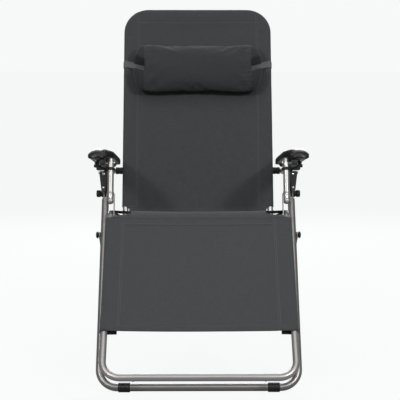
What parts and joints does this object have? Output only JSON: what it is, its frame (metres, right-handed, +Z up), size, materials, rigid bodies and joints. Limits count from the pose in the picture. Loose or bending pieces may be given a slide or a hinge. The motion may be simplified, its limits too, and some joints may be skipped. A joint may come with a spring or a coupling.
{
  "type": "zero gravity recliner",
  "caption": "Folding tubular steel recliner with a continuous fabric sling, locking armrests, crossed floor legs and a strap-on bolster pillow.",
  "frame": {"origin": "centre of the footprint on the floor", "axes": "+Z up, +X to the sitter's left, the sitter faces -Y"},
  "size_m": [0.64, 1.0352, 1.0817],
  "materials": {
    "base_tube": "satin silver-grey powder coat",
    "frame_tube": "satin silver powder coat",
    "bolt_steel": "bright zinc plate",
    "black_plastic": "fine-grained moulded nylon",
    "sling_fabric": "woven textile mesh, grey",
    "pillow_fabric": "woven textile, dark grey",
    "elastic_strap": "knitted elastic webbing, grey"
  },
  "bodies": {
    "base": {"front_leg_frame": "base_tube", "front_foot_sleeve_left": "black_plastic", "front_foot_sleeve_right": "black_plastic", "arm_hinge_knob_left": "black_plastic", "arm_hinge_knob_right": "black_plastic", "base_hinge_knob_left": "black_plastic", "base_hinge_knob_right": "black_plastic"},
    "rear_leg": {"rear_leg_frame": "base_tube", "rear_foot_sleeve_left": "black_plastic", "rear_foot_sleeve_right": "black_plastic"},
    "arms": {"arm_rail_left": "frame_tube", "arm_rail_right": "frame_tube", "arm_rail_plug_left": "black_plastic", "arm_rail_plug_right": "black_plastic", "arm_bracket_left": "black_plastic", "arm_bracket_right": "black_plastic", "armrest_pad_left": "black_plastic", "armrest_pad_right": "black_plastic", "post_pivot_bolt_left": "bolt_steel", "post_pivot_bolt_right": "bolt_steel", "back_pivot_bolt_left": "bolt_steel", "back_pivot_bolt_right": "bolt_steel", "back_pivot_spacer_left": "black_plastic", "back_pivot_spacer_right": "black_plastic"},
    "lever_left": {"lock_lever_left": "black_plastic"},
    "lever_right": {"lock_lever_right": "black_plastic"},
    "back": {"back_frame": "frame_tube", "back_sling": "sling_fabric"},
    "seat": {"seat_frame": "frame_tube", "seat_sling": "sling_fabric", "hip_rivet_left": "bolt_steel", "hip_rivet_right": "bolt_steel", "knee_bolt_left": "bolt_steel", "knee_bolt_right": "bolt_steel"},
    "posts": {"post_left": "frame_tube", "post_right": "frame_tube", "post_collar_left": "black_plastic", "post_collar_right": "black_plastic"},
    "pillow": {"pillow": "pillow_fabric", "pillow_strap": "elastic_strap"}
  },
  "joints": [
    {"name": "recline", "type": "hinge", "parent": "base", "child": "arms", "pos_m": [0, 0.00532, 0.516], "axis": [-1, 0, 0], "range_deg": [-19, 10]},
    {"name": "back_pivot", "type": "hinge", "parent": "arms", "child": "back", "pos_m": [0, 0.32155, 0.55368], "axis": [-1, 0, 0], "range_deg": [-84, 44]},
    {"name": "hip", "type": "hinge", "parent": "back", "child": "seat", "pos_m": [0, 0.26845, 0.40699], "axis": [-1, 0, 0], "range_deg": [-44, 84]},
    {"name": "post_pivot", "type": "hinge", "parent": "arms", "child": "posts", "pos_m": [0, -0.08358, 0.61668], "axis": [-1, 0, 0], "range_deg": [-84, 44]},
    {"name": "rear_leg_fold", "type": "hinge", "parent": "base", "child": "rear_leg", "pos_m": [0, -0.06718, 0.402], "axis": [1, 0, 0], "range_deg": [-66, 0]},
    {"name": "lock_lever_left", "type": "hinge", "parent": "arms", "child": "lever_left", "pos_m": [0.2825, -0.01087, 0.58109], "axis": [-1, 0, 0], "range_deg": [0, 30]},
    {"name": "lock_lever_right", "type": "hinge", "parent": "arms", "child": "lever_right", "pos_m": [-0.2825, -0.01087, 0.58109], "axis": [-1, 0, 0], "range_deg": [0, 30]},
    {"name": "pillow_slide", "type": "slide", "parent": "back", "child": "pillow", "axis": [0, -0.3404, -0.9403], "range_m": [-0.08, 0.28]}
  ],
  "couplings": [
    {"joint": "back_pivot", "follows": "recline", "ratio": 4.4},
    {"joint": "hip", "follows": "recline", "ratio": -4.4},
    {"joint": "post_pivot", "follows": "recline", "ratio": 4.4}
  ]
}
